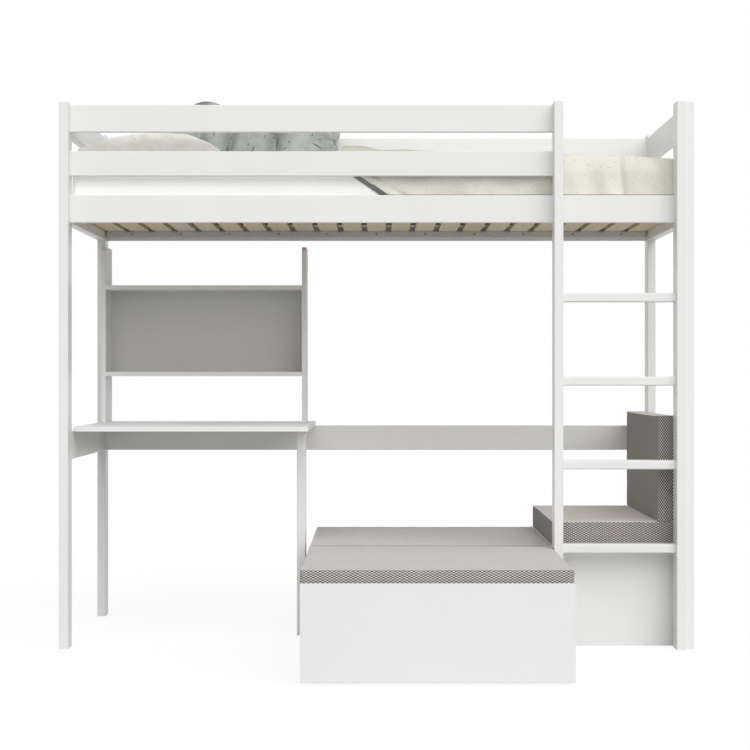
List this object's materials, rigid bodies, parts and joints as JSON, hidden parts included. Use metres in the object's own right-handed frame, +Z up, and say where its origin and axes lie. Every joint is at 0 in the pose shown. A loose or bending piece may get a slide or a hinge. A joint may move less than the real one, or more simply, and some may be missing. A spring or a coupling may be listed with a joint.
{
  "type": "cabin bed",
  "caption": "High sleeper bed with a ladder, guard rails and slatted base over a desk with shelves and a corner sofa whose guest bed pulls out, with its bedding.",
  "frame": {"origin": "on the floor at the middle of the bed's footprint, with the guest bed pulled out", "axes": "+X from the desk end to the ladder end, +Y from the front to the wall, +Z up"},
  "size_m": [2.1, 1.842, 1.9365],
  "materials": {
    "white_lacquer": "satin white lacquer on solid beech, 20 to 30 gloss",
    "white_foil_board": "white melamine-faced board, low sheen",
    "slat_beech": "pale birch, sanded and left raw",
    "zinc_steel": "bright zinc plate",
    "nylon_glide": "moulded nylon",
    "mattress_knit": "white stretch knit cover",
    "duvet_cotton": "washed cream cotton",
    "pillow_cotton_cream": "washed cream cotton with a dark line pattern",
    "pillow_cotton_sage": "washed grey-green cotton",
    "sofa_weave": "grey and off-white basket weave",
    "slat_tape": "woven cotton tape"
  },
  "bodies": {
    "root": {"post_front_left": "white_lacquer", "post_front_right": "white_lacquer", "post_back_left": "white_lacquer", "post_back_right": "white_lacquer", "end_rail_left_top": "white_lacquer", "end_rail_left_bed": "white_lacquer", "end_rail_left_desk": "white_lacquer", "end_rail_right_top": "white_lacquer", "end_rail_right_bed": "white_lacquer", "end_rail_right_desk": "white_lacquer", "guard_front_top": "white_lacquer", "guard_front_middle": "white_lacquer", "bed_rail_front": "white_lacquer", "guard_back": "white_lacquer", "bed_rail_back": "white_lacquer", "desk_rail_back": "white_lacquer", "ladder_stile_left": "white_lacquer", "ladder_stile_right": "white_lacquer", "rung_1": "white_lacquer", "rung_2": "white_lacquer", "rung_3": "white_lacquer", "rung_4": "white_lacquer", "slat_ledge_front": "white_lacquer", "slat_ledge_back": "white_lacquer", "bed_slats": "slat_beech", "slat_tapes": "slat_tape", "bed_mattress": "mattress_knit", "duvet": "duvet_cotton", "pillow_cream": "pillow_cotton_cream", "pillow_green": "pillow_cotton_sage", "desktop": "white_foil_board", "desk_leg": "white_lacquer", "shelf_side_left": "white_foil_board", "shelf_side_right": "white_foil_board", "shelf_lower": "white_foil_board", "shelf_upper": "white_foil_board", "shelf_back_panel": "white_foil_board", "seat_front_panel": "white_foil_board", "seat_side_left": "white_foil_board", "seat_side_right": "white_foil_board", "seat_back_panel": "white_foil_board", "seat_top": "white_foil_board", "seat_cushion": "sofa_weave", "back_cushion": "sofa_weave", "guest_side_board": "white_foil_board", "guest_cross_rail": "white_foil_board", "guest_rear_board": "white_foil_board", "guest_slats_fixed": "slat_beech", "guest_mattress_rear": "sofa_weave", "frame_bolts": "zinc_steel", "ledge_screws": "zinc_steel"},
    "pull_out": {"drawer_front": "white_foil_board", "drawer_side_left": "white_foil_board", "drawer_side_right": "white_foil_board", "drawer_cross_rail": "white_foil_board", "drawer_slats": "slat_beech", "drawer_glides": "nylon_glide"},
    "folding_mattress": {"guest_mattress_front": "sofa_weave"}
  },
  "joints": [
    {"name": "drawer_slide", "type": "slide", "parent": "root", "child": "pull_out", "axis": [0, 1, 0], "range_m": [0, 0.88]},
    {"name": "mattress_fold", "type": "hinge", "parent": "root", "child": "folding_mattress", "pos_m": [0.179, -0.022, 0.3367], "axis": [-1, 0, 0], "range_deg": [0, 180]}
  ],
  "couplings": [
    {"joint": "mattress_fold", "follows": "drawer_slide", "rad_per_m": 3.5699}
  ]
}
